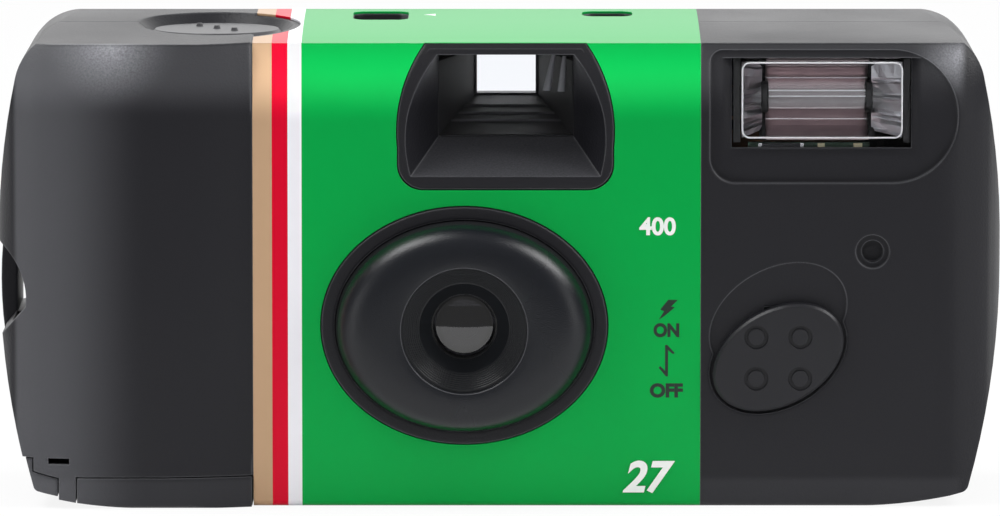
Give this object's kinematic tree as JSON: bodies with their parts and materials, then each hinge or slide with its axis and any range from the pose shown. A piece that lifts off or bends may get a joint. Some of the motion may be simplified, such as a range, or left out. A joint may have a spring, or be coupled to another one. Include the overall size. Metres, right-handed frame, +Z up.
{
  "type": "disposable film camera",
  "caption": "Disposable film camera: black two-shell body with a printed sleeve, oval lens dome, hooded finder, built-in flash, sliding switch, thumb wheel and button.",
  "frame": {"origin": "middle of the flat base, in line with the middle of the width", "axes": "+X to the right seen from the front, +Z up, the lens faces -Y"},
  "size_m": [0.1102, 0.0334, 0.0526],
  "materials": {
    "black_plastic": "fine moulded grain",
    "inner_black": "smooth moulded",
    "gloss_black": "polished",
    "button_black": "satin",
    "wheel_black": "satin",
    "white_plastic": "smooth moulded",
    "printed_paper": "coated print, green with red, white and tan stripes",
    "clear_plastic": "clear, polished",
    "bright_aluminium": "bright sheet",
    "tube_glass": "clear tube",
    "board_green": "circuit board",
    "can_aluminium": "sleeved can",
    "ferrite": "wound core",
    "battery_can": "wrapped cell",
    "contact_brass": "spring sheet",
    "cartridge_steel": "painted sheet can",
    "film_base": "film",
    "blade_steel": "blackened sheet"
  },
  "bodies": {
    "case": {"front_cover": "black_plastic", "rear_cover": "black_plastic", "sleeve": "printed_paper", "lens_bezel": "gloss_black", "taking_lens": "clear_plastic", "lens_holder": "inner_black", "shutter_plate": "inner_black", "finder_front_lens": "clear_plastic", "finder_rear_lens": "clear_plastic", "flash_window": "clear_plastic", "reflector": "bright_aluminium", "flash_tube": "tube_glass", "flash_board": "board_green", "flash_capacitor": "can_aluminium", "transformer": "ferrite", "trigger_coil": "ferrite", "battery": "battery_can", "battery_contact_minus": "contact_brass", "battery_contact_plus": "contact_brass", "main_frame": "inner_black", "top_plate": "inner_black", "cartridge_shell": "cartridge_steel", "film_strip": "film_base", "shutter_spring": "contact_brass", "sync_contact": "contact_brass", "switch_contact": "contact_brass"},
    "wheel": {"winding_wheel": "wheel_black", "cartridge_spool": "inner_black"},
    "sprocket": {"sprocket": "white_plastic"},
    "supply": {"supply_spool": "inner_black", "film_roll": "film_base"},
    "dial": {"counter_dial": "white_plastic"},
    "button": {"shutter_button": "button_black"},
    "lock": {"lock_lever": "white_plastic"},
    "kick": {"kick_lever": "white_plastic"},
    "blade": {"shutter_blade": "blade_steel"},
    "switch": {"flash_switch": "button_black"},
    "guide": {"light_guide": "clear_plastic"},
    "door": {"cartridge_door": "black_plastic"}
  },
  "joints": [
    {"name": "winding", "type": "hinge", "parent": "case", "child": "wheel", "pos_m": [-0.037, 0.0026, 0.0465], "axis": [0, 0, 1], "continuous": true},
    {"name": "sprocket_turn", "type": "hinge", "parent": "case", "child": "sprocket", "pos_m": [-0.0167, 0.00784, 0.04], "axis": [0, 0, 1], "continuous": true},
    {"name": "supply_turn", "type": "hinge", "parent": "case", "child": "supply", "pos_m": [0.03231, 0.00194, 0.02], "axis": [0, 0, 1], "continuous": true},
    {"name": "counter_turn", "type": "hinge", "parent": "case", "child": "dial", "pos_m": [-0.0078, 0.0072, 0.0499], "axis": [0, 0, 1], "continuous": true},
    {"name": "shutter_press", "type": "slide", "parent": "case", "child": "button", "axis": [0, 0, -1], "range_m": [0, 0.0008], "stiffness_N_per_m": 800, "springref_m": -0.0004},
    {"name": "lock_release", "type": "hinge", "parent": "case", "child": "lock", "pos_m": [-0.021, -0.0065, 0.0457], "axis": [0, 0, 1], "range_deg": [0, 12.1]},
    {"name": "kick_swing", "type": "hinge", "parent": "case", "child": "kick", "pos_m": [-0.013, -0.0016, 0.039], "axis": [0, 0, 1], "range_deg": [-28, 0], "stiffness_Nm_per_rad": 0.0001, "springref_deg": 28.65},
    {"name": "blade_swing", "type": "hinge", "parent": "case", "child": "blade", "pos_m": [-0.0121, -0.00825, 0.0272], "axis": [0, 1, 0], "range_deg": [0, 35], "stiffness_Nm_per_rad": 0.00003, "springref_deg": -28.65},
    {"name": "flash_slide", "type": "slide", "parent": "case", "child": "switch", "axis": [0, -0.044, 0.999], "range_m": [0, 0.004]},
    {"name": "lamp_rise", "type": "slide", "parent": "case", "child": "guide", "axis": [0, 0, 1], "range_m": [0, 0.0041]},
    {"name": "door_hinge", "type": "hinge", "parent": "case", "child": "door", "pos_m": [-0.0367, 0.01305, 0], "axis": [1, 0, 0], "range_deg": [0, 100]}
  ],
  "couplings": [
    {"joint": "sprocket_turn", "follows": "winding", "ratio": 0.92594},
    {"joint": "supply_turn", "follows": "winding", "ratio": 0.63636},
    {"joint": "counter_turn", "follows": "winding", "ratio": -0.030865},
    {"joint": "lock_release", "follows": "shutter_press", "rad_per_m": 262},
    {"joint": "lamp_rise", "follows": "flash_slide", "ratio": 1}
  ]
}
